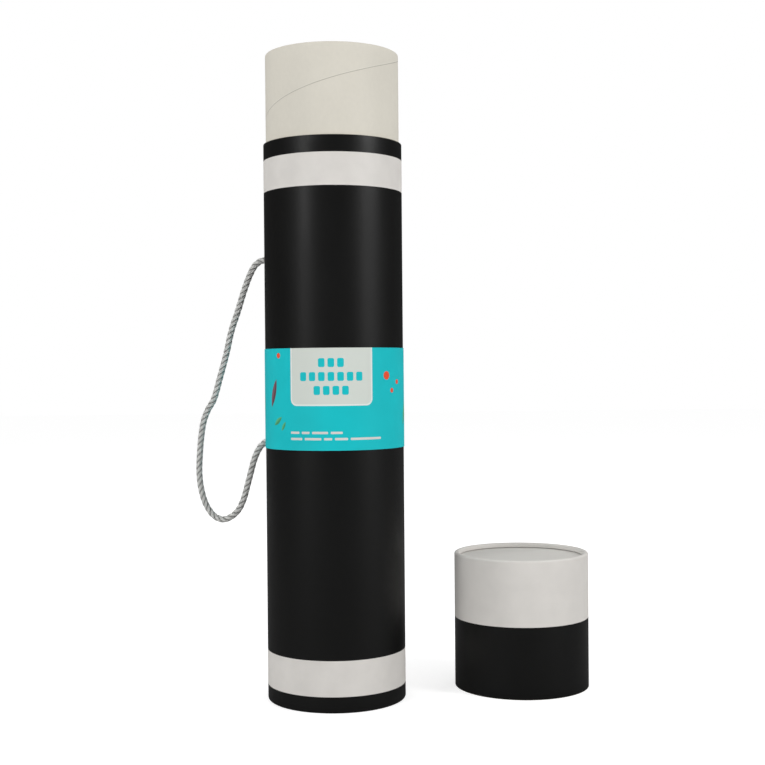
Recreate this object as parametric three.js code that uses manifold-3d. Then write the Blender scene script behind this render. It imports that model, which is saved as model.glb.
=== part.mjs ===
// Art storage tube with its cap taken off and standing beside it.
//
// Two board tubes sit one in the other: the outer one carries the wrap, and the longer inner one
// stands proud of it as the neck that the cap slides over. A disc on the curled bottom rim closes the
// base. A paper sleeve goes round the middle, and a rope handle passes through two holes in the wall
// and is held by a knot at each end.
//
// Units are millimetres and +Z is up. The origin is on the floor, in the middle of the box that
// holds the tube and the cap. The print on the wrap and the sleeve has no thickness and isn't modelled.

import * as THREE from 'three';
import { mergeVertices } from 'three/addons/utils/BufferGeometryUtils.js';
import Module from 'manifold-3d';

// Sizes of the tube
const outerRadius = 50;
const bodyHeight = 400;
const neckHeight = 64;
const outerWall = 1.6;
const linerWall = 1.6;
const discThickness = 2;

// Sizes of the cap, whose side is flush with the tube when it is closed
const capHeight = 100;
const capSlideClearance = 0.4;

// Curled rims: the board turns inward and back on itself, with a flat land where it stands
const rimWidth = 3.8;
const rimDepth = 3.5;
const landWidth = 1.2;

// Paper sleeve, glued where its ends lap at the back
const sleevePaper = 0.25;
const sleeveGap = 0.15;
const sleeveBottom = 182;
const sleeveHeight = 71;
const lapLength = 14;
const lapGap = 0.1;
const lapAzimuth = 150;
const lapSteps = 4;

// Rope handle: its loop hangs in the upright plane through this azimuth, left of the front
const ropeDiameter = 5;
const ropeHoleDiameter = 6.4;
const ropeAzimuth = -105;
const upperHoleHeight = 318.6;
const lowerHoleHeight = 186.2;
const knotRadius = 6;
const knotLength = 9;
const knotRounding = 3.4;
const notchClearance = 0.4;

// Where the cap stands, from the tube's axis
const capStandsRight = 139;
const capStandsBehind = 27;

// Fits and fineness
const seatGap = 0.3;
const roundSegments = 64;
const cornerSteps = 3;
const holeSegments = 20;
const knotSegments = 12;
const ropeSides = 10;
const ropeSteps = 56;

// Sizes that follow from those above
const linerRadius = outerRadius - outerWall - seatGap;
const linerInside = linerRadius - linerWall;
const capInside = linerRadius + capSlideClearance;
const capWall = outerRadius - capInside;
const discBottom = rimDepth + seatGap;
const linerBottom = discBottom + discThickness + seatGap;
const sleeveInside = outerRadius + sleeveGap;
const sleeveOutside = sleeveInside + sleevePaper;

// The loop of the rope, chosen by hand: distance from the tube's axis, then height
const loopPoints = [
  [54.5, 318.3], [59.4, 315.2], [63.6, 308.4], [68.4, 296.5], [73.4, 281.5], [78.4, 267.5],
  [82.6, 250.5], [88, 232], [93, 216.2], [97.6, 208.6], [100.9, 200.4], [103, 189], [104.4, 174],
  [104.8, 161.5], [103.4, 149.5], [99.6, 137.9], [93.4, 129.8], [86.4, 127.3], [79.8, 129.7],
  [74.3, 134.8], [70.2, 143], [67.2, 153], [64.4, 163], [61.7, 172.2], [58.1, 179.8], [54, 184.2],
];

const wasm = await Module();
wasm.setup();

function radians(degrees) {
  return (degrees * Math.PI) / 180;
}

// A point at a distance from the axis: azimuth 0 is the front, -Y, and it grows towards the right, +X
function aroundAxis(azimuth, distance, height) {
  const angle = radians(azimuth);
  return new THREE.Vector3(Math.sin(angle) * distance, -Math.cos(angle) * distance, height);
}

// Turns a list of [radius, height] into a solid of revolution about +Z
function revolve(profile, segments = roundSegments) {
  const points = profile.map(([radius, height]) => new THREE.Vector2(radius, height));
  return new THREE.LatheGeometry(points, segments).rotateX(Math.PI / 2);
}

// A quarter turn of a round corner, from one angle to another, in degrees
function corner(centre, radius, from, to) {
  const points = [];
  for (let step = 0; step <= cornerSteps; step += 1) {
    const angle = radians(from + ((to - from) * step) / cornerSteps);
    points.push([centre[0] + radius * Math.cos(angle), centre[1] + radius * Math.sin(angle)]);
  }
  return points;
}

// Section of a board tube that stands on its curled rim, up to a plain cut edge
function curledWall(radius, wall, height) {
  const round = (rimWidth - landWidth) / 2;
  return [
    ...corner([radius - rimWidth + round, round], round, 180, 270),
    ...corner([radius - round, round], round, 270, 360),
    [radius, height],
    [radius - wall, height],
    [radius - wall, wall],
    [radius - rimWidth + wall, wall],
    [radius - rimWidth + wall, rimDepth],
    [radius - rimWidth, rimDepth],
    [radius - rimWidth, round],
  ];
}

function plainWall(outside, inside, bottom, top) {
  return [[outside, bottom], [outside, top], [inside, top], [inside, bottom], [outside, bottom]];
}

function disc(radius, bottom, top) {
  return [[0, bottom], [radius, bottom], [radius, top], [0, top]];
}

// The same section upside down, with its points in the opposite order so that it still faces out
function upsideDown(profile, height) {
  return profile.map(([radius, z]) => [radius, height - z]).reverse();
}

function toManifold(geometry) {
  const bare = new THREE.BufferGeometry();
  bare.setAttribute('position', geometry.getAttribute('position').clone());
  if (geometry.index) bare.setIndex(geometry.index.clone());
  const merged = mergeVertices(bare, 1e-4);
  return new wasm.Manifold(new wasm.Mesh({
    numProp: 3,
    vertProperties: Float32Array.from(merged.getAttribute('position').array),
    triVerts: Uint32Array.from(merged.index.array),
  }));
}

function cutFrom(geometry, cutters) {
  let solid = toManifold(geometry);
  for (const cutter of cutters) solid = solid.subtract(toManifold(cutter));
  const mesh = solid.getMesh();
  const result = new THREE.BufferGeometry();
  result.setAttribute('position', new THREE.BufferAttribute(Float32Array.from(mesh.vertProperties), 3));
  result.setIndex(new THREE.BufferAttribute(Uint32Array.from(mesh.triVerts), 1));
  result.computeVertexNormals();
  return result;
}

// A round bar that points straight out of the tube's side, to cut a hole for the rope
function ropeHoleCutter(height) {
  const length = 4 * (outerWall + linerWall);
  const bar = new THREE.CylinderGeometry(ropeHoleDiameter / 2, ropeHoleDiameter / 2, length, holeSegments);
  const middle = aroundAxis(ropeAzimuth, outerRadius - outerWall, height);
  return bar.rotateZ(radians(ropeAzimuth)).translate(middle.x, middle.y, middle.z);
}

// Both rope holes, cut through whichever tube wall this is taken from
function holeCutters() {
  return [upperHoleHeight, lowerHoleHeight].map(ropeHoleCutter);
}

// One strip of paper wound once round, whose end lies over its start
function sleeveGeometry() {
  const step = (2 * Math.PI) / roundSegments;
  const lapStep = lapLength / sleeveOutside / lapSteps;
  const wound = [];
  for (let i = 0; i < roundSegments; i += 1) wound.push({ angle: i * step, radius: sleeveInside });
  for (let i = 0; i <= lapSteps; i += 1) {
    wound.push({ angle: 2 * Math.PI + i * lapStep, radius: sleeveOutside + lapGap });
  }
  const start = radians(lapAzimuth - 90);
  const side = (thickness) => wound.map(({ angle, radius }) => new THREE.Vector2(
    (radius + thickness) * Math.cos(start + angle),
    (radius + thickness) * Math.sin(start + angle),
  ));
  const outline = new THREE.Shape([...side(sleevePaper), ...side(0).reverse()]);
  const strip = new THREE.ExtrudeGeometry(outline, { depth: sleeveHeight, bevelEnabled: false });
  return strip.translate(0, 0, sleeveBottom);
}

// A notch in the sleeve's lower edge, with a round top, that clears the rope's lower end
function notchCutters() {
  const radius = ropeHoleDiameter / 2 + notchClearance;
  const length = 4 * outerWall;
  const drop = lowerHoleHeight - sleeveBottom + radius;
  const middle = aroundAxis(ropeAzimuth, outerRadius, lowerHoleHeight);
  const top = new THREE.CylinderGeometry(radius, radius, length, holeSegments).rotateZ(radians(ropeAzimuth));
  const slot = new THREE.BoxGeometry(2 * radius, length, drop).rotateZ(radians(ropeAzimuth));
  return [
    top.translate(middle.x, middle.y, middle.z),
    slot.translate(middle.x, middle.y, middle.z - drop / 2),
  ];
}

function ropeGeometry() {
  const ends = [
    [[linerInside, upperHoleHeight], [outerRadius, upperHoleHeight]],
    [[outerRadius, lowerHoleHeight], [linerInside, lowerHoleHeight]],
  ];
  const route = [...ends[0], ...loopPoints, ...ends[1]];
  const curve = new THREE.CatmullRomCurve3(
    route.map(([distance, height]) => aroundAxis(ropeAzimuth, distance, height)),
    false,
    'centripetal',
  );
  const section = new THREE.Shape();
  for (let side = 0; side < ropeSides; side += 1) {
    const angle = (2 * Math.PI * side) / ropeSides;
    const x = (ropeDiameter / 2) * Math.cos(angle);
    const y = (ropeDiameter / 2) * Math.sin(angle);
    if (side === 0) section.moveTo(x, y);
    else section.lineTo(x, y);
  }
  section.closePath();
  return new THREE.ExtrudeGeometry(section, { steps: ropeSteps, extrudePath: curve, bevelEnabled: false });
}

// The pulled-tight lump of rope inside the wall, its axis along the rope
function knotGeometry(height) {
  const half = knotLength / 2;
  const profile = [
    [0, -half],
    ...corner([knotRadius - knotRounding, knotRounding - half], knotRounding, 270, 360),
    ...corner([knotRadius - knotRounding, half - knotRounding], knotRounding, 0, 90),
    [0, half],
  ];
  const middle = aroundAxis(ropeAzimuth, linerInside - seatGap - half, height);
  const knot = revolve(profile, knotSegments).rotateX(Math.PI / 2).rotateZ(radians(ropeAzimuth));
  return knot.translate(middle.x, middle.y, middle.z);
}

// Materials
const blackWrap = new THREE.MeshStandardMaterial({ color: 0x191919, roughness: 0.42, metalness: 0 });
const ivoryBoard = new THREE.MeshStandardMaterial({ color: 0xd6d2c6, roughness: 0.75, metalness: 0 });
const greyBoard = new THREE.MeshStandardMaterial({ color: 0xb9b3a6, roughness: 0.85, metalness: 0 });
const tealPaper = new THREE.MeshStandardMaterial({ color: 0x1cb6bc, roughness: 0.6, metalness: 0 });
const whiteWrap = new THREE.MeshStandardMaterial({ color: 0xd0cdc6, roughness: 0.6, metalness: 0 });
const silverRope = new THREE.MeshStandardMaterial({ color: 0xa9a9a5, roughness: 0.5, metalness: 0 });

function piece(name, geometry, material) {
  const mesh = new THREE.Mesh(geometry, material);
  mesh.name = name;
  return mesh;
}

// The tube, with all that hangs on it
const tube = new THREE.Group();
tube.add(
  piece('outer_tube', cutFrom(revolve(curledWall(outerRadius, outerWall, bodyHeight)), holeCutters()), blackWrap),
  piece(
    'inner_liner',
    cutFrom(revolve(plainWall(linerRadius, linerInside, linerBottom, bodyHeight + neckHeight)), holeCutters()),
    ivoryBoard,
  ),
  piece('base_disc', revolve(disc(linerRadius, discBottom, discBottom + discThickness)), greyBoard),
  piece('label_sleeve', cutFrom(sleeveGeometry(), notchCutters()), tealPaper),
  piece('rope_handle', ropeGeometry(), silverRope),
  piece('rope_knot_upper', knotGeometry(upperHoleHeight), silverRope),
  piece('rope_knot_lower', knotGeometry(lowerHoleHeight), silverRope),
);

// The cap, mouth down on the floor
const cap = new THREE.Group();
const capDiscTop = capHeight - discBottom;
const capDiscRadius = capInside - seatGap;
cap.add(
  piece('cap_shell', revolve(upsideDown(curledWall(outerRadius, capWall, capHeight), capHeight)), whiteWrap),
  piece('cap_disc', revolve(disc(capDiscRadius, capDiscTop - discThickness, capDiscTop)), whiteWrap),
);

// The sleeve stands proud of the tube's left and front, so half its thickness shifts the middle
const proud = sleeveOutside - outerRadius;
tube.position.set(-(capStandsRight - proud) / 2, -(capStandsBehind - proud) / 2, 0);
cap.position.copy(tube.position).add(new THREE.Vector3(capStandsRight, capStandsBehind, 0));

const artStorageTube = new THREE.Group();
artStorageTube.add(tube, cap);

export default artStorageTube;
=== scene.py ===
import math

import bmesh
import bpy
import numpy as np
from mathutils import Matrix, Vector


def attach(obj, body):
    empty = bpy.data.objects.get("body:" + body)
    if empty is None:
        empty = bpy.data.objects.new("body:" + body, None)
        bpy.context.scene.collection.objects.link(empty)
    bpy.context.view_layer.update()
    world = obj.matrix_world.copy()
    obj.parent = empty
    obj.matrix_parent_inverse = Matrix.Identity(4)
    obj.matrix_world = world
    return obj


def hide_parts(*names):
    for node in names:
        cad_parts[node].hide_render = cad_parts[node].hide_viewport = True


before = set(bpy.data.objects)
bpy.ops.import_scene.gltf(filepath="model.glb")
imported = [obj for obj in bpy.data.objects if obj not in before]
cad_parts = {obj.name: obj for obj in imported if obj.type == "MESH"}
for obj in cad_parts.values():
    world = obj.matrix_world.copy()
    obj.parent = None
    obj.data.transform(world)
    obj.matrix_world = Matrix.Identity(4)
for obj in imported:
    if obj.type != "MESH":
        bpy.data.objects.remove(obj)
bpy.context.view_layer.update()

# Sizes repeated from the part's source, in metres. The origin is on the floor between tube and cap.
OUTER_RADIUS = 0.050
BODY_HEIGHT = 0.400
NECK_TOP = 0.464
OUTER_WALL = 0.0016
LINER_RADIUS = 0.0481
LINER_INSIDE = 0.0465
LINER_BOTTOM = 0.0061
DISC_RADIUS = 0.0481
DISC_BOTTOM = 0.0038
DISC_TOP = 0.0058
RIM_WIDTH = 0.0038
RIM_DEPTH = 0.0035
SLEEVE_INSIDE = 0.05015
SLEEVE_PAPER = 0.00025
SLEEVE_BOTTOM = 0.182
SLEEVE_TOP = 0.253
LAP_LENGTH = 0.014
LAP_AZIMUTH = 150
CAP_HEIGHT = 0.100
CAP_INSIDE = 0.0485
CAP_DISC_RADIUS = 0.0482
CAP_DISC_TOP = 0.0962
CAP_DISC_BOTTOM = 0.0942
CAP_DISC_DISH = 0.0003
TUBE_AXIS = (-0.0693, -0.0133)
CAP_AXIS = (0.0697, 0.0137)

ROPE_AZIMUTH = -105
ROPE_HOLE_RADIUS = 0.0032
UPPER_HOLE = 0.3186
LOWER_HOLE = 0.1862
ROPE_HOLES = (UPPER_HOLE, LOWER_HOLE)
NOTCH_RADIUS = 0.0036
KNOT_RADIUS = 0.006
KNOT_LENGTH = 0.009

# Heights of the printed bands, and of the line on the cap where white meets black
UPPER_BAND = (0.365, 0.388)
LOWER_BAND = (0.0115, 0.0365)
CAP_SPLIT = 0.052

# Curled rims and cut edges
CURL_TOP = 0.006
CURL_ROLL = 0.0016
CURL_TUCK = 0.0003
SOFT_EDGE = 0.0002
DISC_EDGE = 0.0003

# Where the wrap's end lies over its start on the tube and on the cap, in radians, and how far it stands out
WRAP_LAP_AZIMUTH = math.radians(168)
CAP_LAP_AZIMUTH = math.radians(200)
WRAP_LAP_STEP = 0.00008
WRAP_LAP_FADE = math.radians(24)

# Waves of the board, which isn't perfectly round: their depth, number in a turn, and shift with height
BOARD_WAVES = ((0.00003, 3, 9), (0.00002, 7, -21))

# Joint of the neck's last ply: its climb in one turn, its height at the front, half its gap, and its lip
SEAM_LEAD = 0.089
SEAM_FRONT_HEIGHT = 0.4394
SEAM_HALF_GAP = 0.00022
SEAM_LIP = 0.0010

# Sleeve: its lap and the stretch before it where its end lifts, both in radians, and the lifted end's shape
SLEEVE_LAP = LAP_LENGTH / (SLEEVE_INSIDE + SLEEVE_PAPER)
SLEEVE_LIFT = math.radians(9)
SLEEVE_GLUE = 0.0001
SLEEVE_CURL = 0.00012
SLEEVE_WAVE = 0.00002

# Rope: its twist, its thickness where the strands press together, and the grooves and yarns on its surface
LAY_LENGTH = 0.0135
DRAWN_DIAMETER = 0.0047
STRANDS = 3
GROOVE_DEPTH = 0.30
GROOVE_SHARPNESS = 3.4
YARNS = 21
YARN_RELIEF = 0.018
YARN_SLOPE = 1.9
ROPE_STEP = 0.00055
ROPE_SIDES = 20

# Knots: rope and twist in them, their gap to the wall, and how far they stand out past the plain knots
KNOT_ROPE = 0.0044
KNOT_LAY = 0.013
KNOT_STEP = 0.0006
KNOT_SIDES = 12
KNOT_GAP = 0.0003
KNOT_PROUD = 0.0002

# Grid of the walls: columns all round, their width, how many a hole or the notch takes to each side, the rows
# that the notch takes, and how far apart the other rows are
COLUMNS = 256
CELL = 2 * math.pi * OUTER_RADIUS / COLUMNS
HOLE_CELLS = 4
NOTCH_ROWS = 7
ROW_SPACING = 0.006

# Points closer than this are one point, and edges that bend by more than these angles stay sharp
MERGE_DISTANCE = 2e-7
WALL_SHARP = math.radians(32)
ROPE_SHARP = math.radians(70)


def around(azimuth, distance, height, axis=TUBE_AXIS):
    """A point at a distance from an upright axis: azimuth 0 is the front and 90 the right."""
    angle = math.radians(azimuth)
    return Vector((axis[0] + math.sin(angle) * distance, axis[1] - math.cos(angle) * distance, height))


def place_object(name, data):
    thing = bpy.data.objects.new(name, data)
    bpy.context.collection.objects.link(thing)
    return thing


# Camera: in front of the tube and a little above its middle
FOCAL_PIXELS = 1304.61
FRAME_PIXELS = 765
CAMERA_DISTANCE = 0.94906
CAMERA_HEIGHT = 0.23912
YAW, PITCH, ROLL = (math.radians(a) for a in (2.1080, -0.6623, -0.4925))


def make_camera():
    forward = Vector((math.sin(YAW) * math.cos(PITCH), math.cos(YAW) * math.cos(PITCH), math.sin(PITCH)))
    level = Vector((math.cos(YAW), -math.sin(YAW), 0))
    upright = level.cross(forward)
    right = math.cos(ROLL) * level + math.sin(ROLL) * upright
    up = -math.sin(ROLL) * level + math.cos(ROLL) * upright
    data = bpy.data.cameras.new("camera")
    data.sensor_width = 36
    data.lens = data.sensor_width * FOCAL_PIXELS / FRAME_PIXELS
    data.clip_start = 0.01
    data.clip_end = 100
    camera = place_object("camera", data)
    turn = Matrix((right, up, -forward)).transposed().to_4x4()
    place = (TUBE_AXIS[0], TUBE_AXIS[1] - CAMERA_DISTANCE, CAMERA_HEIGHT)
    camera.matrix_world = Matrix.Translation(place) @ turn
    bpy.context.scene.camera = camera


make_camera()


# Node materials

class Paint:
    """Builds the node tree of one material, with short calls for the nodes that it uses."""

    def __init__(self, name, roughness, specular=0.5):
        self.material = bpy.data.materials.new(name)
        self.material.use_nodes = True
        self.tree = self.material.node_tree
        self.shader = self.tree.nodes["Principled BSDF"]
        self.shader.inputs["Roughness"].default_value = roughness
        self.shader.inputs["Specular IOR Level"].default_value = specular
        self.place = self.tree.nodes.new("ShaderNodeTexCoord").outputs["Object"]
        self.chart = self.tree.nodes.new("ShaderNodeUVMap").outputs["UV"]

    def put(self, socket, value):
        if isinstance(value, bpy.types.NodeSocket):
            self.tree.links.new(value, socket)
        elif isinstance(value, tuple):
            socket.default_value = (*value, 1)[: len(socket.default_value)]
        else:
            socket.default_value = value

    def math(self, operation, first, second=0.0):
        node = self.tree.nodes.new("ShaderNodeMath")
        node.operation = operation
        self.put(node.inputs[0], first)
        self.put(node.inputs[1], second)
        return node.outputs[0]

    def parts(self, vector):
        node = self.tree.nodes.new("ShaderNodeSeparateXYZ")
        self.put(node.inputs[0], vector)
        return node.outputs

    def noise(self, scale, detail=3.0, vector=None, stretch=(1, 1, 1)):
        mapping = self.tree.nodes.new("ShaderNodeMapping")
        mapping.inputs["Scale"].default_value = stretch
        self.put(mapping.inputs["Vector"], self.place if vector is None else vector)
        node = self.tree.nodes.new("ShaderNodeTexNoise")
        node.inputs["Scale"].default_value = scale
        node.inputs["Detail"].default_value = detail
        self.put(node.inputs["Vector"], mapping.outputs[0])
        return node.outputs["Fac"]

    def spread(self, value, low, high):
        """Maps 0.3..0.7, where most of a noise lies, to low..high."""
        node = self.tree.nodes.new("ShaderNodeMapRange")
        self.put(node.inputs["Value"], value)
        node.inputs["From Min"].default_value = 0.3
        node.inputs["From Max"].default_value = 0.7
        node.inputs["To Min"].default_value = low
        node.inputs["To Max"].default_value = high
        return node.outputs[0]

    def mix(self, factor, first, second):
        node = self.tree.nodes.new("ShaderNodeMix")
        node.data_type = "RGBA"
        self.put(node.inputs["Factor"], factor)
        self.put(node.inputs["A"], first)
        self.put(node.inputs["B"], second)
        return node.outputs["Result"]

    def shade(self, colour, amount):
        """Multiplies a colour by a grey amount."""
        node = self.tree.nodes.new("ShaderNodeVectorMath")
        node.operation = "SCALE"
        self.put(node.inputs[0], colour)
        self.put(node.inputs["Scale"], amount)
        return node.outputs[0]

    def between(self, value, low, high):
        above = self.math("GREATER_THAN", value, low)
        below = self.math("LESS_THAN", value, high)
        return self.math("MULTIPLY", above, below)

    def bump(self, height, distance, strength=1.0, under=None):
        node = self.tree.nodes.new("ShaderNodeBump")
        node.inputs["Strength"].default_value = strength
        node.inputs["Distance"].default_value = distance
        self.put(node.inputs["Height"], height)
        if under is not None:
            self.put(node.inputs["Normal"], under)
        return node.outputs[0]

    def rounded_box(self, across, up, low, high, corner):
        """1 inside a box with round corners on the chart, low and high being its corners."""
        middle = ((low[0] + high[0]) / 2, (low[1] + high[1]) / 2)
        half = ((high[0] - low[0]) / 2 - corner, (high[1] - low[1]) / 2 - corner)
        sides = []
        for value, centre, reach in zip((across, up), middle, half):
            off = self.math("ABSOLUTE", self.math("SUBTRACT", value, centre))
            past = self.math("MAXIMUM", self.math("SUBTRACT", off, reach), 0.0)
            sides.append(self.math("POWER", past, 2.0))
        return self.math("LESS_THAN", self.math("ADD", *sides), corner * corner)

    def finish(self, colour, roughness=None, normal=None):
        self.put(self.shader.inputs["Base Color"], colour)
        if roughness is not None:
            self.put(self.shader.inputs["Roughness"], roughness)
        if normal is not None:
            self.put(self.shader.inputs["Normal"], normal)
        return self.material


# Colours
BLACK_INK = (0.0050, 0.0050, 0.0048)
WHITE_INK = (0.660, 0.636, 0.604)
IVORY = (0.650, 0.620, 0.545)
TEAL = (0.008, 0.495, 0.540)
PANEL = (0.610, 0.650, 0.605)
PANEL_EDGE = (0.740, 0.770, 0.735)
ORANGE = (0.780, 0.085, 0.035)
VIOLET_BROWN = (0.130, 0.060, 0.075)
LEAF_GREEN = (0.060, 0.280, 0.130)
GREY_BOARD = (0.420, 0.385, 0.320)
BOARD_SPECK = (0.16, 0.13, 0.09)
SEAM_SHADE = (0.27, 0.25, 0.21)
SEAM_EDGE = (0.76, 0.74, 0.68)
CUT_EDGE = (0.56, 0.53, 0.45)
CAP_INSIDE_BOARD = (0.54, 0.51, 0.44)
DISC_WHITE = (0.650, 0.630, 0.597)
PLAIN_PAPER = (0.78, 0.78, 0.75)
ROPE_GREY = (0.860, 0.860, 0.830)

# Thickness of one ply in a cut edge
PLY = 0.0004


def paper_normal(paint, grain, ripple):
    """Fine paper grain on the faint ripples of the board below."""
    ripples = paint.bump(paint.noise(45, 2.0, stretch=(1, 1, 0.35)), ripple)
    return paint.bump(paint.noise(2600, 4.0), grain, 0.6, ripples)


def wrap_paint(name, bands, specular, mottle, satin, ripple):
    """Satin paper wrap in black ink, white where the height lies in one of the bands."""
    paint = Paint(name, satin[0], specular)
    height = paint.parts(paint.place)[2]
    white = paint.between(height, *bands[0])
    for band in bands[1:]:
        white = paint.math("MAXIMUM", white, paint.between(height, *band))
    tone = paint.spread(paint.noise(60, 4.0), 1 - mottle, 1 + mottle)
    colour = paint.shade(paint.mix(white, BLACK_INK, WHITE_INK), tone)
    sheen = paint.spread(paint.noise(38, 4.0, stretch=(1, 1, 0.3)), *satin)
    roughness = paint.math("ADD", sheen, paint.math("MULTIPLY", white, 0.1))
    return paint.finish(colour, roughness, paper_normal(paint, 0.00003, ripple))


def tube_wrap_paint():
    return wrap_paint(
        "black_wrap_print", bands=(UPPER_BAND, LOWER_BAND),
        specular=0.29, mottle=0.04, satin=(0.38, 0.47), ripple=0.00006,
    )


def cap_wrap_paint():
    above_split = (CAP_SPLIT, 2 * CAP_HEIGHT)
    return wrap_paint(
        "white_wrap_print", bands=(above_split,),
        specular=0.27, mottle=0.03, satin=(0.40, 0.49), ripple=0.00005,
    )


def seam_distance(paint):
    """Height over the nearest turn of a joint that climbs round the tube to the right."""
    across, up, _ = paint.parts(paint.chart)
    climb = paint.math("MULTIPLY", across, SEAM_LEAD / (2 * math.pi * OUTER_RADIUS))
    above = paint.math("SUBTRACT", paint.math("SUBTRACT", up, SEAM_FRONT_HEIGHT), climb)
    turn = paint.math("FLOORED_MODULO", paint.math("ADD", above, SEAM_LEAD / 2), SEAM_LEAD)
    return paint.math("SUBTRACT", turn, SEAM_LEAD / 2)


def ivory_paint():
    """Smooth ivory facing of the wound inner tube, with the butt joint of its last ply."""
    paint = Paint("ivory_board_wound", 0.62, 0.35)
    above = seam_distance(paint)
    off = paint.math("ABSOLUTE", above)
    gap = paint.math("LESS_THAN", off, SEAM_HALF_GAP)
    lip = paint.between(above, SEAM_HALF_GAP, SEAM_LIP)
    fibres = paint.spread(paint.noise(420, 5.0, stretch=(1, 1, 0.7)), 0.985, 1.012)
    clouds = paint.spread(paint.noise(28, 3.0), 0.975, 1.02)
    tone = paint.math("MULTIPLY", fibres, clouds)
    colour = paint.shade(IVORY, tone)
    colour = paint.mix(paint.math("MULTIPLY", gap, 0.6), colour, SEAM_SHADE)
    colour = paint.mix(paint.math("MULTIPLY", lip, 0.25), colour, SEAM_EDGE)
    groove = paint.math("MULTIPLY", gap, -1.0)
    step = paint.math("MULTIPLY", paint.math("LESS_THAN", above, 0.0), 0.6)
    relief = paint.bump(paint.math("ADD", groove, step), 0.00012, 0.7)
    grain = paint.bump(paint.noise(1500, 4.0), 0.00004, 0.7, relief)
    return paint.finish(colour, None, grain)


def cut_board_paint(axis):
    """Cut edge of wound board: thin plies of grey pulp, round the axis."""
    paint = Paint("cut_board", 0.85, 0.3)
    across, along, _ = paint.parts(paint.place)
    offs = (paint.math("SUBTRACT", across, axis[0]), paint.math("SUBTRACT", along, axis[1]))
    squares = [paint.math("POWER", paint.math("ABSOLUTE", off), 2.0) for off in offs]
    radius = paint.math("SQRT", paint.math("ADD", *squares))
    wave = paint.math("SINE", paint.math("MULTIPLY", radius, 2 * math.pi / PLY))
    plies = paint.math("ADD", paint.math("MULTIPLY", wave, 0.06), 1.0)
    fibre = paint.spread(paint.noise(1800, 5.0), 0.85, 1.12)
    colour = paint.shade(CUT_EDGE, paint.math("MULTIPLY", plies, fibre))
    return paint.finish(colour, None, paint.bump(paint.noise(2200, 5.0), 0.00015, 0.8))


def grey_board_paint():
    """Plain recycled board with visible fibres and specks."""
    paint = Paint("grey_board_plain", 0.88, 0.3)
    fibre = paint.spread(paint.noise(700, 6.0, stretch=(1, 0.35, 1)), 0.86, 1.10)
    speck = paint.math("GREATER_THAN", paint.noise(900, 1.0), 0.72)
    board = paint.shade(GREY_BOARD, fibre)
    colour = paint.mix(paint.math("MULTIPLY", speck, 0.35), board, BOARD_SPECK)
    return paint.finish(colour, None, paint.bump(paint.noise(900, 6.0), 0.00012, 0.8))


def white_disc_paint():
    """White paper on the cap's disc."""
    paint = Paint("white_disc_paper", 0.6, 0.3)
    clouds = paint.spread(paint.noise(35, 4.0), 0.975, 1.02)
    colour = paint.shade(DISC_WHITE, clouds)
    soft = paint.bump(paint.noise(55, 2.0), 0.00012)
    return paint.finish(colour, None, paint.bump(paint.noise(2200, 4.0), 0.00003, 0.6, soft))


# Print on the sleeve, in distance along the paper from its front and height. The panel is open at its top,
# where it runs off the paper. Blocks stand in rows in it, and rows of small bars below it.
PANEL_BOX = ((-0.0324, 0.2129), (0.0274, 0.2630))
PANEL_CORNER = 0.0048
PANEL_BORDER = 0.0011
HEADING_ROWS = ((0.2428, 3), (0.2332, 7), (0.2236, 4))
HEADING_MIDDLE = -0.0024
HEADING_BLOCK = (0.0046, 0.0062)
HEADING_STEP = 0.0066
HEADING_CORNER = 0.0012
SMALL_ROWS = (
    (0.1943, (0.0070, 0.0058, 0.0112, 0.0082)),
    (0.1900, (0.0092, 0.0120, 0.0056, 0.0090, 0.0235)),
)
SMALL_START = -0.0325
SMALL_BAR_HEIGHT = 0.0016
SMALL_GAP = 0.0019
SMALL_CORNER = 0.0005
# Dots: distance along the paper, height, and radius
DOTS = (
    (0.0405, 0.2335, 0.0030), (0.0465, 0.2230, 0.0017), (0.0535, 0.2290, 0.0018),
    (-0.0445, 0.2480, 0.0019), (0.0790, 0.2380, 0.0034), (0.0905, 0.2260, 0.0020),
    (0.1180, 0.2420, 0.0027), (-0.0960, 0.2360, 0.0030), (-0.1150, 0.2440, 0.0021),
    (-0.1320, 0.2250, 0.0026),
)
# Leaves: distance along the paper, height, half length, half width, tilt in degrees, and colour
LEAVES = (
    (-0.0505, 0.2215, 0.0105, 0.0026, 72, VIOLET_BROWN),
    (-0.0455, 0.2020, 0.0052, 0.0017, 35, LEAF_GREEN),
    (-0.0395, 0.1985, 0.0038, 0.0013, 58, LEAF_GREEN),
    (-0.0760, 0.2190, 0.0110, 0.0030, 118, LEAF_GREEN),
    (-0.0860, 0.2060, 0.0090, 0.0025, 40, VIOLET_BROWN),
    (0.0700, 0.2070, 0.0100, 0.0028, 62, LEAF_GREEN),
    (0.1050, 0.2140, 0.0110, 0.0030, 105, VIOLET_BROWN),
    (-0.1240, 0.2010, 0.0080, 0.0022, 20, LEAF_GREEN),
)


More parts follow.
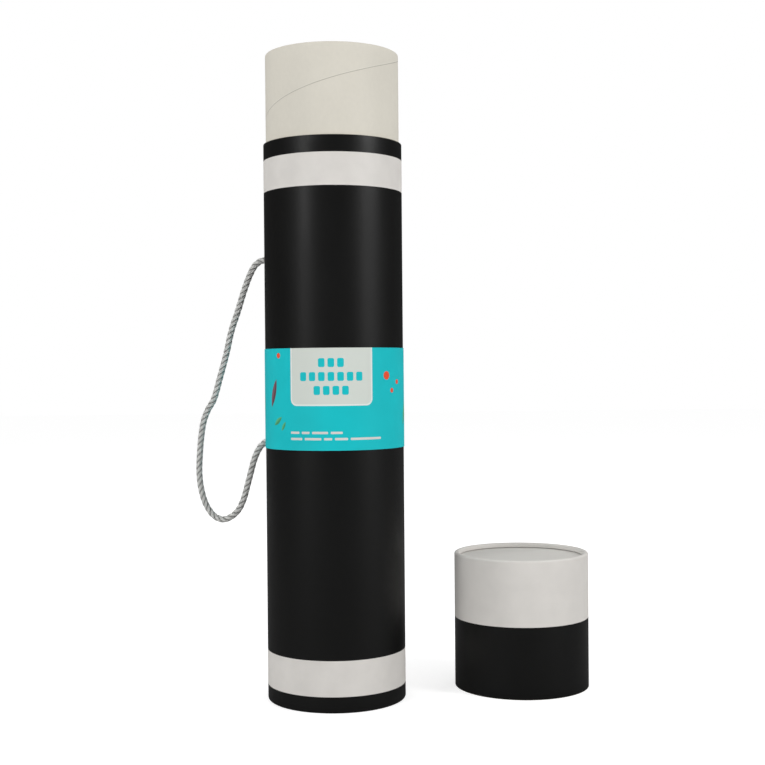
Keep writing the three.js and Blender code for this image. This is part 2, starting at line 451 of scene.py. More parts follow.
def sleeve_paint():
    """Printed paper sleeve: a teal ground, a pale panel, rows of plain blocks and a few leaves and dots."""
    paint = Paint("teal_paper_print", 0.5, 0.12)
    across, up, _ = paint.parts(paint.chart)
    ink = paint.shade(TEAL, paint.spread(paint.noise(50, 4.0), 0.97, 1.03))

    def leaf(x, z, length, width, tilt):
        """1 inside a pointed leaf, and the distance from its mid line."""
        right = paint.math("SUBTRACT", across, x)
        above = paint.math("SUBTRACT", up, z)
        cosine = math.cos(math.radians(tilt))
        sine = math.sin(math.radians(tilt))
        along = paint.math("ADD", paint.math("MULTIPLY", right, cosine), paint.math("MULTIPLY", above, sine))
        rise = paint.math("MULTIPLY", above, cosine)
        aside = paint.math("SUBTRACT", rise, paint.math("MULTIPLY", right, sine))
        share = paint.math("POWER", paint.math("ABSOLUTE", paint.math("DIVIDE", along, length)), 2.0)
        edge = paint.math("MULTIPLY", paint.math("SUBTRACT", 1.0, share), width)
        return paint.math("LESS_THAN", paint.math("ABSOLUTE", aside), edge), aside

    def dot(x, z, radius):
        """1 inside a round dot."""
        squares = []
        for value, centre in ((across, x), (up, z)):
            off = paint.math("ABSOLUTE", paint.math("SUBTRACT", value, centre))
            squares.append(paint.math("POWER", off, 2.0))
        return paint.math("LESS_THAN", paint.math("ADD", *squares), radius * radius)

    def bar(left, middle, wide, high, corner):
        """1 inside a level bar with round corners."""
        low = (left, middle - high / 2)
        top = (left + wide, middle + high / 2)
        return paint.rounded_box(across, up, low, top, corner)

    for x, z, length, width, tilt, colour in LEAVES:
        shape, aside = leaf(x, z, length, width, tilt)
        light_side = tuple(min(1.0, 1.5 * part + 0.01) for part in colour)
        ink = paint.mix(shape, ink, paint.mix(paint.math("GREATER_THAN", aside, 0.0), colour, light_side))
    for x, z, radius in DOTS:
        ink = paint.mix(dot(x, z, radius), ink, ORANGE)
    low, high = PANEL_BOX
    inner_low = (low[0] + PANEL_BORDER, low[1] + PANEL_BORDER)
    inner_high = (high[0] - PANEL_BORDER, high[1])
    ink = paint.mix(paint.rounded_box(across, up, low, high, PANEL_CORNER), ink, PANEL_EDGE)
    inner = paint.rounded_box(across, up, inner_low, inner_high, PANEL_CORNER - PANEL_BORDER)
    ink = paint.mix(inner, ink, PANEL)
    wide, tall = HEADING_BLOCK
    for z, count in HEADING_ROWS:
        left = HEADING_MIDDLE - ((count - 1) * HEADING_STEP + wide) / 2
        for i in range(count):
            ink = paint.mix(bar(left + i * HEADING_STEP, z, wide, tall, HEADING_CORNER), ink, TEAL)
    for z, words in SMALL_ROWS:
        left = SMALL_START
        for word in words:
            small = bar(left, z, word, SMALL_BAR_HEIGHT, SMALL_CORNER)
            ink = paint.mix(small, ink, WHITE_INK)
            left += word + SMALL_GAP
    roughness = paint.spread(paint.noise(40, 4.0), 0.46, 0.54)
    return paint.finish(ink, roughness, paper_normal(paint, 0.00003, 0.00005))


def inside_paint():
    """Bare board inside the cap."""
    paint = Paint("cap_inside_board", 0.8, 0.3)
    fibre = paint.spread(paint.noise(600, 5.0, stretch=(1, 1, 0.4)), 0.93, 1.05)
    grain = paint.bump(paint.noise(1200, 5.0), 0.0001, 0.7)
    return paint.finish(paint.shade(CAP_INSIDE_BOARD, fibre), None, grain)


def plain_paper_paint():
    """The unprinted back and cut edges of the sleeve's paper."""
    paint = Paint("plain_paper", 0.8, 0.3)
    return paint.finish(paint.shade(PLAIN_PAPER, paint.spread(paint.noise(500, 4.0), 0.95, 1.03)))


def rope_paint():
    """Silky grey yarn: fine fibres run along each strand, wound the other way from the strands. Painted shade
    darkens the colour towards the grooves between the strands.
    """
    paint = Paint("grey_rope_yarn", 0.36, 0.6)
    across, along, _ = paint.parts(paint.chart)
    slope = YARN_SLOPE / (YARNS / STRANDS * LAY_LENGTH)
    turn = paint.math("ADD", across, paint.math("MULTIPLY", along, slope))
    fibres = paint.math("SINE", paint.math("MULTIPLY", turn, 2 * math.pi * YARNS * 3))
    ply = paint.math("ADD", paint.math("MULTIPLY", fibres, 0.07), 0.97)
    stray = paint.spread(paint.noise(900, 4.0, stretch=(1, 1, 0.4)), 0.88, 1.10)
    # Painted shade: the colour darkens towards the grooves between the strands, where shade falls, and the
    # tone below carries it.
    share = paint.math("FLOORED_MODULO", paint.math("MULTIPLY", across, STRANDS), 1.0)
    middle = paint.math("ABSOLUTE", paint.math("SUBTRACT", paint.math("MULTIPLY", share, 2.0), 1.0))
    groove = paint.math("MULTIPLY", paint.math("POWER", middle, 2.6), 0.72)
    deep = paint.math("SUBTRACT", 1.0, groove)
    tone = paint.math("MULTIPLY", paint.math("MULTIPLY", ply, stray), deep)
    colour = paint.shade(ROPE_GREY, tone)
    relief = paint.bump(fibres, 0.00007, 0.8)
    return paint.finish(colour, None, paint.bump(paint.noise(3000, 3.0), 0.00004, 0.5, relief))


# Meshes

def chart_round(mesh, axis):
    """UV chart: the distance round the tube from its front, and the height, both in metres."""
    layer = mesh.uv_layers.new(name="chart")
    for face in mesh.polygons:
        middle = math.atan2(face.center.x - axis[0], axis[1] - face.center.y)
        for loop in face.loop_indices:
            point = mesh.vertices[mesh.loops[loop].vertex_index].co
            angle = math.atan2(point.x - axis[0], axis[1] - point.y)
            if angle - middle > math.pi:
                angle -= 2 * math.pi
            elif middle - angle > math.pi:
                angle += 2 * math.pi
            layer.data[loop].uv = (angle * OUTER_RADIUS, point.z)


def finish_mesh(name, vertices, faces, materials, face_material=None, chart_axis=None):
    """Makes an object of points in metres, with meeting points joined and round surfaces smooth."""
    mesh = bpy.data.meshes.new(name)
    mesh.from_pydata(vertices, [], faces)
    for material in materials:
        mesh.materials.append(material)
    if face_material is not None:
        mesh.polygons.foreach_set("material_index", face_material)
    work = bmesh.new()
    work.from_mesh(mesh)
    bmesh.ops.remove_doubles(work, verts=work.verts, dist=MERGE_DISTANCE)
    bmesh.ops.recalc_face_normals(work, faces=work.faces)
    work.to_mesh(mesh)
    work.free()
    mesh.shade_smooth()
    mesh.set_sharp_from_angle(angle=WALL_SHARP)
    if chart_axis:
        chart_round(mesh, chart_axis)
    return place_object(name, mesh)


def columns_round():
    """Azimuths of the columns, in radians. One of them lies on the rope's azimuth."""
    start = math.radians(ROPE_AZIMUTH)
    return [start + 2 * math.pi * i / COLUMNS for i in range(COLUMNS)]


def on_axis(axis, angle, radius, height):
    return (axis[0] + math.sin(angle) * radius, axis[1] - math.cos(angle) * radius, height)


def revolve(profile, axis, closed=True):
    """Turns a list of (radius, height) round an upright axis, into points and faces."""
    angles = columns_round()
    vertices, faces = [], []
    for radius, height in profile:
        vertices += [on_axis(axis, angle, radius, height) for angle in angles]
    rows = len(profile)
    for row in range(rows if closed else rows - 1):
        below, above = row * COLUMNS, ((row + 1) % rows) * COLUMNS
        for i in range(COLUMNS):
            j = (i + 1) % COLUMNS
            faces.append((below + i, below + j, above + j, above + i))
    return vertices, faces


def arc(centre, radius, start, end, steps):
    points = []
    for i in range(steps + 1):
        angle = math.radians(start + (end - start) * i / steps)
        points.append((centre[0] + radius * math.cos(angle), centre[1] + radius * math.sin(angle)))
    return points


def join(vertices, faces, more_vertices, more_faces):
    """Adds points and faces to a mesh that is being made."""
    start = len(vertices)
    vertices += more_vertices
    faces += [tuple(v + start for v in face) for face in more_faces]


def wall_rows(bottom, top):
    """Heights of a wall's rows: near each hole they are as far apart as the columns."""
    rows = set()
    for hole in ROPE_HOLES:
        for i in range(-HOLE_CELLS, HOLE_CELLS + 1):
            rows.add(round(hole + i * CELL, 7))
    ends = [hole + side * HOLE_CELLS * CELL for hole in ROPE_HOLES for side in (-1, 1)]
    stops = sorted([bottom, top] + ends)
    for low, high in zip(stops[::2], stops[1::2]):
        count = max(1, round((high - low) / ROW_SPACING))
        for i in range(count + 1):
            rows.add(round(low + (high - low) * i / count, 7))
    return sorted(rows)


def hole_outline(height, rows):
    """The points round a hole's window on the grid, from its right, as (column, height) pairs."""
    near = [z for z in rows if abs(z - height) < HOLE_CELLS * CELL + 1e-5]
    right = [(HOLE_CELLS, z) for z in near[HOLE_CELLS:]]
    top = [(i, near[-1]) for i in range(HOLE_CELLS - 1, -HOLE_CELLS - 1, -1)]
    left = [(-HOLE_CELLS, z) for z in reversed(near[:-1])]
    bottom = [(i, near[0]) for i in range(-HOLE_CELLS + 1, HOLE_CELLS + 1)]
    under = [(HOLE_CELLS, z) for z in near[1:HOLE_CELLS]]
    return right + top + left + bottom + under


def holed_wall(radius, rows, axis, swell=None):
    """One upright surface of a tube with round holes, and the rings of points at the holes."""
    angles = columns_round()
    vertices, faces, rings = [], [], []
    index = {}
    for z in rows:
        for i, angle in enumerate(angles):
            index[i, z] = len(vertices)
            out = radius + (swell(angle, z) if swell else 0.0)
            vertices.append(on_axis(axis, angle, out, z))
    for low, high in zip(rows, rows[1:]):
        middle = (low + high) / 2
        holed = any(abs(middle - hole) < HOLE_CELLS * CELL for hole in ROPE_HOLES)
        for i in range(COLUMNS):
            if holed and (i < HOLE_CELLS or i >= COLUMNS - HOLE_CELLS):
                continue
            j = (i + 1) % COLUMNS
            faces.append((index[i, low], index[j, low], index[j, high], index[i, high]))
    for hole in ROPE_HOLES:
        outline = hole_outline(hole, rows)
        ring = []
        for column, z in outline:
            turn = math.atan2(z - hole, column * CELL)
            side = ROPE_HOLE_RADIUS * math.cos(turn)
            rise = ROPE_HOLE_RADIUS * math.sin(turn)
            ring.append(len(vertices))
            vertices.append(on_axis(axis, angles[0] + math.asin(side / radius), radius, hole + rise))
        count = len(outline)
        for k in range(count):
            n = (k + 1) % count
            first = index[outline[k][0] % COLUMNS, outline[k][1]]
            second = index[outline[n][0] % COLUMNS, outline[n][1]]
            faces.append((first, second, ring[n], ring[k]))
        rings.append(ring)
    return vertices, faces, rings


def tube_wall(outside, inside, bottom, top, axis, close_bottom, swell=None):
    """A tube with round holes through its wall. Its faces' ids are 0 on the sides and 1 on the cut edges."""
    edge_height = top - SOFT_EDGE
    rows = wall_rows(bottom, edge_height)
    vertices, faces, outer_rings = holed_wall(outside, rows, axis, swell)
    shift = len(vertices)
    inner_vertices, inner_faces, inner_rings = holed_wall(inside, rows, axis)
    join(vertices, faces, inner_vertices, [tuple(reversed(face)) for face in inner_faces])
    for outer, inner in zip(outer_rings, inner_rings):
        for k in range(len(outer)):
            n = (k + 1) % len(outer)
            faces.append((outer[k], outer[n], inner[n] + shift, inner[k] + shift))
    sides = len(faces)
    top_line = arc((outside - SOFT_EDGE, edge_height), SOFT_EDGE, 0, 90, 3)
    top_line += arc((inside + SOFT_EDGE, edge_height), SOFT_EDGE, 90, 180, 3)
    ring_vertices, ring_faces = revolve(top_line, axis, closed=False)
    if swell:
        swell_row(ring_vertices, 0, axis, outside, edge_height, swell)
    join(vertices, faces, ring_vertices, ring_faces)
    if close_bottom:
        join(vertices, faces, *revolve([(outside, bottom), (inside, bottom)], axis, closed=False))
    return vertices, faces, [0] * sides + [1] * (len(faces) - sides)


def curl_line(radius, wall, height):
    """Section of a curled rim, mouth down at height 0, from the outside of the wall round to its inside."""
    inner = radius - RIM_WIDTH
    return [
        (radius, height),
        *arc((radius - CURL_ROLL, CURL_ROLL), CURL_ROLL, 360, 270, 7),
        *arc((inner + CURL_ROLL, CURL_ROLL), CURL_ROLL, 270, 180, 7),
        (inner, RIM_DEPTH - CURL_TUCK),
        (inner + CURL_TUCK, RIM_DEPTH),
        (inner + wall - CURL_TUCK, RIM_DEPTH),
        (inner + wall, RIM_DEPTH - CURL_TUCK),
        (inner + wall, wall + CURL_TUCK),
        (inner + wall + CURL_TUCK, wall),
        (radius - wall, wall),
        (radius - wall, height),
    ]


def swell_row(vertices, row, axis, radius, height, swell):
    """Moves one row of a revolved surface out by its swell."""
    for k, angle in enumerate(columns_round()):
        out = radius + swell(angle, height)
        vertices[row * COLUMNS + k] = on_axis(axis, angle, out, height)


def lap_step(angle, azimuth):
    """How far the wrap's end stands out where it lies over its start."""
    past = (angle - azimuth) % (2 * math.pi)
    return WRAP_LAP_STEP * max(0.0, 1.0 - past / WRAP_LAP_FADE)


def wrap_swell(angle, height):
    """The tube's wrap with its lap, on board that isn't perfectly round."""
    soft = sum(depth * math.sin(waves * angle + shift * height) for depth, waves, shift in BOARD_WAVES)
    return lap_step(angle, WRAP_LAP_AZIMUTH) + soft


def cap_swell(angle, _height):
    """The cap's wrap with its lap."""
    return lap_step(angle, CAP_LAP_AZIMUTH)


def make_outer_tube():
    vertices, faces, ids = tube_wall(
        OUTER_RADIUS, OUTER_RADIUS - OUTER_WALL, CURL_TOP, BODY_HEIGHT, TUBE_AXIS,
        close_bottom=False, swell=wrap_swell,
    )
    line = curl_line(OUTER_RADIUS, OUTER_WALL, CURL_TOP)
    curl_vertices, curl_faces = revolve(line, TUBE_AXIS, closed=False)
    swell_row(curl_vertices, 0, TUBE_AXIS, OUTER_RADIUS, CURL_TOP, wrap_swell)
    join(vertices, faces, curl_vertices, curl_faces)
    ids += [0] * len(curl_faces)
    materials = [tube_wrap_paint(), cut_board_paint(TUBE_AXIS)]
    return finish_mesh("tube_body", vertices, faces, materials, ids, TUBE_AXIS)


def make_liner():
    vertices, faces, ids = tube_wall(
        LINER_RADIUS, LINER_INSIDE, LINER_BOTTOM, NECK_TOP, TUBE_AXIS, close_bottom=True,
    )
    materials = [ivory_paint(), cut_board_paint(TUBE_AXIS)]
    return finish_mesh("neck_tube", vertices, faces, materials, ids, TUBE_AXIS)


def make_disc(name, radius, bottom, top, axis, material, dish):
    """A round board with soft edges, whose face sinks by dish towards its middle."""
    line = [(0.0, bottom)]
    line += arc((radius - DISC_EDGE, bottom + DISC_EDGE), DISC_EDGE, 270, 360, 3)
    line += arc((radius - DISC_EDGE, top - DISC_EDGE), DISC_EDGE, 0, 90, 3)
    rings = 14
    for i in range(1, rings):
        at = 1 - i / rings
        line.append((radius * at, top - dish * (1 - at * at)))
    line.append((0.0, top - dish))
    vertices, faces = revolve(line, axis, closed=False)
    return finish_mesh(name, vertices, faces, [material])


def make_cap():
    """The cap's side: wrap outside and over the curl, bare board inside, and a cut edge at the mouth."""
    wall = OUTER_RADIUS - CAP_INSIDE
    curl_start = CAP_HEIGHT - CURL_TOP
    rows = 14
    side = [(OUTER_RADIUS, curl_start * i / rows) for i in range(1, rows)]
    curl = [(radius, CAP_HEIGHT - z) for radius, z in curl_line(OUTER_RADIUS, wall, CURL_TOP)]
    inner = [(CAP_INSIDE, curl_start * i / rows) for i in range(rows - 1, 0, -1)]
    mouth = arc((CAP_INSIDE + SOFT_EDGE, SOFT_EDGE), SOFT_EDGE, 180, 270, 3)
    mouth += arc((OUTER_RADIUS - SOFT_EDGE, SOFT_EDGE), SOFT_EDGE, 270, 360, 3)
    profile = side + curl + inner + mouth
    vertices, faces = revolve(profile, CAP_AXIS)
    for row in range(len(side) + 1):
        swell_row(vertices, row, CAP_AXIS, *profile[row], cap_swell)
    ids = [0] * (COLUMNS * (len(side) + len(curl) - 1))
    ids += [1] * (COLUMNS * (len(inner) + 1))
    ids += [2] * (COLUMNS * (len(mouth) - 1))
    ids += [0] * COLUMNS
    materials = [cap_wrap_paint(), inside_paint(), cut_board_paint(CAP_AXIS)]
    return finish_mesh("cap_side", vertices, faces, materials, ids, CAP_AXIS)


def sleeve_radius(at):
    """Radius inside the paper at an angle from its start. Its end rises on to the start and curls up."""
    turn = 2 * math.pi
    lifted = min(1.0, max(0.0, (at - (turn - SLEEVE_LIFT)) / SLEEVE_LIFT))
    eased = lifted * lifted * (3 - 2 * lifted)
    curl = SLEEVE_CURL * max(0.0, (at - turn - SLEEVE_LAP * 0.5) / (SLEEVE_LAP * 0.5)) ** 2
    wave = SLEEVE_WAVE * math.sin(5 * at)
    return SLEEVE_INSIDE + eased * (SLEEVE_PAPER + SLEEVE_GLUE) + curl + wave * (1 - eased)


def notch_line(count):
    """Points at equal steps along the notch, from its left foot, as distance aside and height."""
    straight = LOWER_HOLE - SLEEVE_BOTTOM
    length = 2 * straight + math.pi * NOTCH_RADIUS
    points = []
    for k in range(count):
        run = length * k / (count - 1)
        if run < straight:
            points.append((-NOTCH_RADIUS, SLEEVE_BOTTOM + run))
        elif run > length - straight:
            points.append((NOTCH_RADIUS, SLEEVE_BOTTOM + length - run))
        else:
            bend = math.pi - (run - straight) / NOTCH_RADIUS
            points.append((NOTCH_RADIUS * math.cos(bend), LOWER_HOLE + NOTCH_RADIUS * math.sin(bend)))
    return points


def sleeve_sheet():
    """The flat strip with its notch for the rope: points as angle from its start and height, and faces."""
    turn = 2 * math.pi
    step = turn / COLUMNS
    notch_at = math.radians(ROPE_AZIMUTH - LAP_AZIMUTH) % turn
    left = notch_at - HOLE_CELLS * step
    right = notch_at + HOLE_CELLS * step
    rest = turn + SLEEVE_LAP - right
    before = round(left / step)
    after = round(rest / step)
    stops = [left * i / before for i in range(before)]
    stops += [notch_at + i * step for i in range(-HOLE_CELLS, HOLE_CELLS + 1)]
    stops += [right + rest * i / after for i in range(1, after + 1)]
    rows = [SLEEVE_BOTTOM + CELL * i for i in range(NOTCH_ROWS + 1)]
    above = 16
    rows += [rows[-1] + (SLEEVE_TOP - rows[-1]) * i / above for i in range(1, above + 1)]
    flat, faces, index = [], [], {}
    for r, z in enumerate(rows):
        for c, at in enumerate(stops):
            index[c, r] = len(flat)
            flat.append((at, z))
    last = before + 2 * HOLE_CELLS
    for r in range(len(rows) - 1):
        for c in range(len(stops) - 1):
            if r >= NOTCH_ROWS or not before <= c < last:
                faces.append((index[c, r], index[c + 1, r], index[c + 1, r + 1], index[c, r + 1]))
    window = [(before, r) for r in range(NOTCH_ROWS)]
    window += [(c, NOTCH_ROWS) for c in range(before, last)]
    window += [(last, r) for r in range(NOTCH_ROWS, -1, -1)]
    first = len(flat)
    flat += [(notch_at + side / OUTER_RADIUS, z) for side, z in notch_line(len(window))]
    for k in range(len(window) - 1):
        faces.append((index[window[k]], index[window[k + 1]], first + k + 1, first + k))
    return flat, faces


def make_sleeve():
    """The paper sleeve: one strip wound round, its end over its start at the back."""
    flat, faces = sleeve_sheet()
    start = math.radians(LAP_AZIMUTH)
    vertices = []
    for thick in (SLEEVE_PAPER, 0.0):
        vertices += [on_axis(TUBE_AXIS, start + at, sleeve_radius(at) + thick, z) for at, z in flat]
    count = len(flat)
    both, used = [], {}
    for face in faces:
        both += [face, tuple(v + count for v in reversed(face))]
        for a, b in zip(face, face[1:] + face[:1]):
            key = (min(a, b), max(a, b))
            used[key] = used.get(key, 0) + 1
    edges = [(a, b, b + count, a + count) for (a, b), times in used.items() if times == 1]
    ids = [0, 1] * len(faces) + [1] * len(edges)
    materials = [sleeve_paint(), plain_paper_paint()]
    return finish_mesh("paper_sleeve", vertices, both + edges, materials, ids, TUBE_AXIS)


# Rope: the same loop as in the part's source, as distance from the tube's axis, then height
LOOP_POINTS = (
    (0.0545, 0.3183), (0.0594, 0.3152), (0.0636, 0.3084), (0.0684, 0.2965), (0.0734, 0.2815),
    (0.0784, 0.2675), (0.0826, 0.2505), (0.0880, 0.2320), (0.0930, 0.2162), (0.0976, 0.2086),
    (0.1009, 0.2004), (0.1030, 0.1890), (0.1044, 0.1740), (0.1048, 0.1615), (0.1034, 0.1495),
    (0.0996, 0.1379), (0.0934, 0.1298), (0.0864, 0.1273), (0.0798, 0.1297), (0.0743, 0.1348),
    (0.0702, 0.1430), (0.0672, 0.1530), (0.0644, 0.1630), (0.0617, 0.1722), (0.0581, 0.1798),
    (0.0540, 0.1842),
)
ROPE_ROUTE = (
    (LINER_INSIDE, UPPER_HOLE),
    (OUTER_RADIUS, UPPER_HOLE),
    *LOOP_POINTS,
    (OUTER_RADIUS, LOWER_HOLE),
    (LINER_INSIDE, LOWER_HOLE),
)


def blend(first, second, start, end, at):
    """The value at a place between two others."""
    return (end - at) / (end - start) * first + (at - start) / (end - start) * second


def smooth_line(points, closed=False, per_span=24):
    """A centripetal Catmull-Rom curve through the points."""
    points = [np.array(p, float) for p in points]
    if closed:
        ring = [points[-1], *points, points[0], points[1]]
    else:
        ring = [2 * points[0] - points[1], *points, 2 * points[-1] - points[-2]]
    result = []
    for k in range(1, len(ring) - 2):
        p = ring[k - 1: k + 3]
        t = [0.0]
        for a, b in zip(p, p[1:]):
            t.append(t[-1] + max(float(np.linalg.norm(b - a)), 1e-9) ** 0.5)
        for s in range(per_span):
            u = t[1] + (t[2] - t[1]) * s / per_span
            pairs = [blend(p[i], p[i + 1], t[i], t[i + 1], u) for i in range(3)]
            threes = [blend(pairs[i], pairs[i + 1], t[i], t[i + 2], u) for i in range(2)]
            result.append(blend(*threes, t[1], t[2], u))
    if not closed:
        result.append(points[-1])
    return np.array(result)


def even_steps(line, step, closed=False):
    """The same line with points at equal steps."""
    if closed:
        line = np.vstack([line, line[:1]])
    lengths = np.concatenate([[0.0], np.cumsum(np.linalg.norm(np.diff(line, axis=0), axis=1))])
    count = max(8, round(lengths[-1] / step))
    at = np.linspace(0, lengths[-1], count + 1)
    even = np.stack([np.interp(at, lengths, line[:, k]) for k in range(3)], axis=1)
    return (even[:-1] if closed else even), float(lengths[-1])


def frames_along(line, closed, first_side):
    """Two directions square to the line at each point, carried along it without twist."""
    count = len(line)
    if closed:
        ahead = np.roll(line, -1, axis=0) - np.roll(line, 1, axis=0)
    else:
        ahead = np.gradient(line, axis=0)
    ahead /= np.linalg.norm(ahead, axis=1)[:, None]
    sides = np.zeros((count, 3))
    side = np.array(first_side, float)
    for k in range(count):
        side = side - ahead[k] * side.dot(ahead[k])
        side /= np.linalg.norm(side)
        sides[k] = side
    return sides, np.cross(ahead, sides)


def strand_section(turn):
    """Reach of the rope's surface at an angle round it, as a share of its radius, without the yarns."""
    share = (turn % (2 * math.pi / STRANDS)) / (math.pi / STRANDS) - 1
    return 1 - GROOVE_DEPTH * abs(share) ** GROOVE_SHARPNESS


def chart_rope(mesh, chart, total, closed):
    """UV chart of the rope: the share of a turn round it, and the distance along it in metres."""
    layer = mesh.uv_layers.new(name="chart")
    for face in mesh.polygons:
        values = [chart[mesh.loops[loop].vertex_index] for loop in face.loop_indices]
        high = max(u for u, _ in values)
        far = max(v for _, v in values)
        for loop, (u, v) in zip(face.loop_indices, values):
            if high - u > 0.5 and len(values) == 4:
                u += 1
            if closed and far - v > total / 2:
                v += total
            layer.data[loop].uv = (u, v)


def twisted_rope(name, line, closed, first_side, diameter, lay, per_strand, material):
    """Three strands laid up right-handed round a line and pressed together. Each shows its own yarns."""
    right, up = frames_along(line, closed, first_side)
    gaps = np.linalg.norm(np.roll(line, -1, axis=0) - line, axis=1)
    run = np.concatenate([[0.0], np.cumsum(gaps[:-1])])
    total = run[-1] + (gaps[-1] if closed else 0.0)
    turns = total / lay
    if closed:
        turns = max(1, round(turns))
    sides = per_strand * STRANDS
    count = len(line)
    vertices, faces, chart = [], [], []
    for k in range(count):
        phase = 2 * math.pi * turns * run[k] / total
        for s in range(sides):
            turn = 2 * math.pi * s / sides
            angle = turn + phase
            yarn = 1 + YARN_RELIEF * math.cos(YARNS * turn + YARN_SLOPE * phase * STRANDS)
            reach = diameter / 2 * strand_section(turn) * yarn
            point = line[k] + right[k] * (reach * math.cos(angle)) + up[k] * (reach * math.sin(angle))
            vertices.append(tuple(point))
            chart.append((s / sides, run[k]))
    for k in range(count if closed else count - 1):
        here, there = k * sides, ((k + 1) % count) * sides
        for s in range(sides):
            n = (s + 1) % sides
            faces.append((here + s, here + n, there + n, there + s))
    if not closed:
        faces.append(tuple(reversed(range(sides))))
        faces.append(tuple((count - 1) * sides + s for s in range(sides)))
    mesh = bpy.data.meshes.new(name)
    mesh.from_pydata(vertices, [], faces)
    mesh.materials.append(material)
    chart_rope(mesh, chart, total, closed)
    mesh.shade_smooth()
    mesh.set_sharp_from_angle(angle=ROPE_SHARP)
    return place_object(name, mesh)


def plane_side():
    """The level direction square to the rope's plane."""
    angle = math.radians(ROPE_AZIMUTH)
    return (math.cos(angle), math.sin(angle), 0.0)


def make_rope(material):
    points = [tuple(around(ROPE_AZIMUTH, distance, height)) for distance, height in ROPE_ROUTE]
    line, length = even_steps(smooth_line(points), ROPE_STEP)
    twist = (DRAWN_DIAMETER, LAY_LENGTH, ROPE_SIDES)
    thing = twisted_rope("rope_loop", line, False, plane_side(), *twist, material)
    return thing, line, length


def make_knot(name, height, material):
    """The rope's end tied in an overhand knot, drawn tight against the inside of the wall."""
    middle = np.array(around(ROPE_AZIMUTH, LINER_INSIDE - KNOT_GAP - KNOT_LENGTH / 2, height))
    inward = -np.array(around(ROPE_AZIMUTH, 1.0, 0.0, (0, 0)))
    side = np.array(plane_side())
    rise = np.array((0.0, 0.0, 1.0))
    reach = (KNOT_RADIUS + KNOT_PROUD - KNOT_ROPE / 2) / 3
    deep = KNOT_LENGTH / 2 - KNOT_ROPE / 2
    count = 36
    points = []
    for k in range(count):
        t = 2 * math.pi * k / count
        x = reach * (math.sin(t) + 2 * math.sin(2 * t))
        y = reach * (math.cos(t) - 2 * math.cos(2 * t))
        z = -deep * math.sin(3 * t)
        points.append(middle + side * x + rise * y + inward * z)
    line, _ = even_steps(smooth_line(points, closed=True), KNOT_STEP, closed=True)
    return twisted_rope(name, line, True, tuple(rise), KNOT_ROPE, KNOT_LAY, KNOT_SIDES, material)


# The pieces, and what each of them rides on, stands for and is made of
yarn = rope_paint()
rope, rope_line, rope_length = make_rope(yarn)
knots = [make_knot("knot_upper", UPPER_HOLE, yarn), make_knot("knot_lower", LOWER_HOLE, yarn)]
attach(rope, "tube")
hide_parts("rope_handle")
for knot, node in zip(knots, ("rope_knot_upper", "rope_knot_lower")):
    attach(knot, "tube")
    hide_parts(node)

body = make_outer_tube()
neck = make_liner()
sleeve = make_sleeve()
board = grey_board_paint()
base = make_disc("base_board", DISC_RADIUS, DISC_BOTTOM, DISC_TOP, TUBE_AXIS, board, 0.0)
cap = make_cap()
paper = white_disc_paint()
lid_heights = (CAP_DISC_BOTTOM, CAP_DISC_TOP)
lid = make_disc("cap_board", CAP_DISC_RADIUS, *lid_heights, CAP_AXIS, paper, CAP_DISC_DISH)
for piece, carrier, node, slot in (
    (body, "tube", "outer_tube", "black_wrap"),
    (neck, "tube", "inner_liner", "ivory_board"),
    (sleeve, "tube", "label_sleeve", "teal_paper"),
    (base, "tube", "base_disc", "grey_board"),
    (cap, "cap", "cap_shell", "white_wrap"),
    (lid, "cap", "cap_disc", "white_wrap"),
):
    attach(piece, carrier)
    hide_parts(node)


# Floor, background and light. The floor is darker in gloss than it is to the camera, and so is the room.
FLOOR_REACH = 6.0
FLOOR_TONE = 0.62
FLOOR_IN_GLOSS = 0.20
FLOOR_LIFT = 0.64
WORLD_LIGHT = 0.56
ROOM_IN_GLOSS = 0.06
BACKDROP_HALF_ANGLE = 12
# Lamps: name, azimuth from the front, distance, height, width, tallness, power, and if it shows in gloss
SOFTBOXES = (
    ("softbox_left", -48, 1.7, 1.05, 0.40, 1.3, 10, True),
    ("softbox_right", 61, 1.7, 1.05, 0.45, 1.3, 15.5, True),
    ("fill_left", -37, 2.0, 0.60, 1.20, 1.2, 6, False),
    ("behind_left", -142, 2.0, 0.90, 1.0, 1.2, 5.5, False),
    ("behind_right", 142, 2.0, 0.90, 1.0, 1.2, 5.5, False),
)
LAMP_AIM_HEIGHT = 0.28


def grey(value):
    return (value, value, value, 1)


def make_floor():
    """A pale floor. To the camera alone it glows a little, so that it stays white out to the horizon."""
    mesh = bpy.data.meshes.new("floor")
    corners = [(x * FLOOR_REACH, y * FLOOR_REACH, 0) for x, y in ((-1, -1), (1, -1), (1, 1), (-1, 1))]
    mesh.from_pydata(corners, [], [(0, 1, 2, 3)])
    floor = place_object("floor", mesh)
    material = bpy.data.materials.new("pale_floor")
    material.use_nodes = True
    nodes, links = material.node_tree.nodes, material.node_tree.links
    nodes.clear()
    ray = nodes.new("ShaderNodeLightPath")
    tone = nodes.new("ShaderNodeMix")
    tone.data_type = "RGBA"
    tone.inputs["A"].default_value = grey(FLOOR_TONE)
    tone.inputs["B"].default_value = grey(FLOOR_IN_GLOSS)
    links.new(ray.outputs["Is Glossy Ray"], tone.inputs["Factor"])
    diffuse = nodes.new("ShaderNodeBsdfDiffuse")
    links.new(tone.outputs["Result"], diffuse.inputs["Color"])
    glow = nodes.new("ShaderNodeEmission")
    amount = nodes.new("ShaderNodeMath")
    amount.operation = "MULTIPLY"
    amount.inputs[1].default_value = FLOOR_LIFT
    links.new(ray.outputs["Is Camera Ray"], amount.inputs[0])
    links.new(amount.outputs[0], glow.inputs["Strength"])
    both = nodes.new("ShaderNodeAddShader")
    links.new(diffuse.outputs[0], both.inputs[0])
    links.new(glow.outputs[0], both.inputs[1])
    out = nodes.new("ShaderNodeOutputMaterial")
    links.new(both.outputs[0], out.inputs["Surface"])
    mesh.materials.append(material)


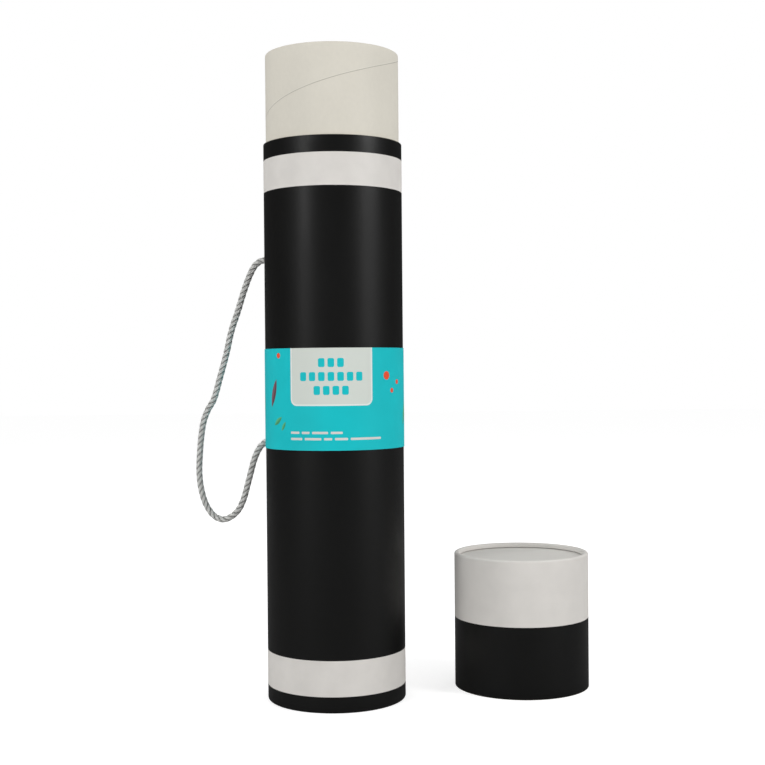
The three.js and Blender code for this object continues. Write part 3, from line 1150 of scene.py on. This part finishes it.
def make_world():
    """Even light from all round. The camera sees white everywhere. Glossy and clear surfaces see it where
    the backdrop stands, behind the object, and the dimmer room elsewhere."""
    world = bpy.data.worlds.new("studio")
    bpy.context.scene.world = world
    world.use_nodes = True
    nodes, links = world.node_tree.nodes, world.node_tree.links
    nodes.clear()

    def math_node(operation, first, second):
        node = nodes.new("ShaderNodeMath")
        node.operation = operation
        for socket, value in zip(node.inputs, (first, second)):
            if isinstance(value, bpy.types.NodeSocket):
                links.new(value, socket)
            else:
                socket.default_value = value
        return node.outputs[0]

    def glow(strength):
        node = nodes.new("ShaderNodeBackground")
        node.inputs["Color"].default_value = grey(1)
        node.inputs["Strength"].default_value = strength
        return node.outputs[0]

    def mixed(factor, first, second):
        node = nodes.new("ShaderNodeMixShader")
        links.new(factor, node.inputs["Fac"])
        links.new(first, node.inputs[1])
        links.new(second, node.inputs[2])
        return node.outputs[0]

    ray = nodes.new("ShaderNodeLightPath").outputs
    towards = nodes.new("ShaderNodeSeparateXYZ")
    links.new(nodes.new("ShaderNodeTexCoord").outputs["Generated"], towards.inputs[0])
    behind = math_node("GREATER_THAN", towards.outputs["Y"], math.cos(math.radians(BACKDROP_HALF_ANGLE)))
    mirrored = math_node("MAXIMUM", ray["Is Glossy Ray"], ray["Is Transmission Ray"])
    white = math_node("MAXIMUM", ray["Is Camera Ray"], math_node("MULTIPLY", mirrored, behind))
    plain = mixed(mirrored, glow(WORLD_LIGHT), glow(ROOM_IN_GLOSS))
    out = nodes.new("ShaderNodeOutputWorld")
    links.new(mixed(white, plain, glow(1.0)), out.inputs["Surface"])


def softbox(name, azimuth, distance, height, width, tall, power, in_gloss):
    """A soft lamp at an azimuth from the front, aimed at the tube."""
    data = bpy.data.lights.new(name, "AREA")
    data.shape = "RECTANGLE"
    data.size = width
    data.size_y = tall
    data.energy = power
    lamp = place_object(name, data)
    place = around(azimuth, distance, height)
    aim = Vector((TUBE_AXIS[0], TUBE_AXIS[1], LAMP_AIM_HEIGHT)) - place
    lamp.matrix_world = Matrix.Translation(place) @ aim.to_track_quat("-Z", "Y").to_matrix().to_4x4()
    lamp.visible_glossy = in_gloss


make_floor()
make_world()
for lamp_values in SOFTBOXES:
    softbox(*lamp_values)
bpy.context.scene.view_settings.view_transform = "Standard"
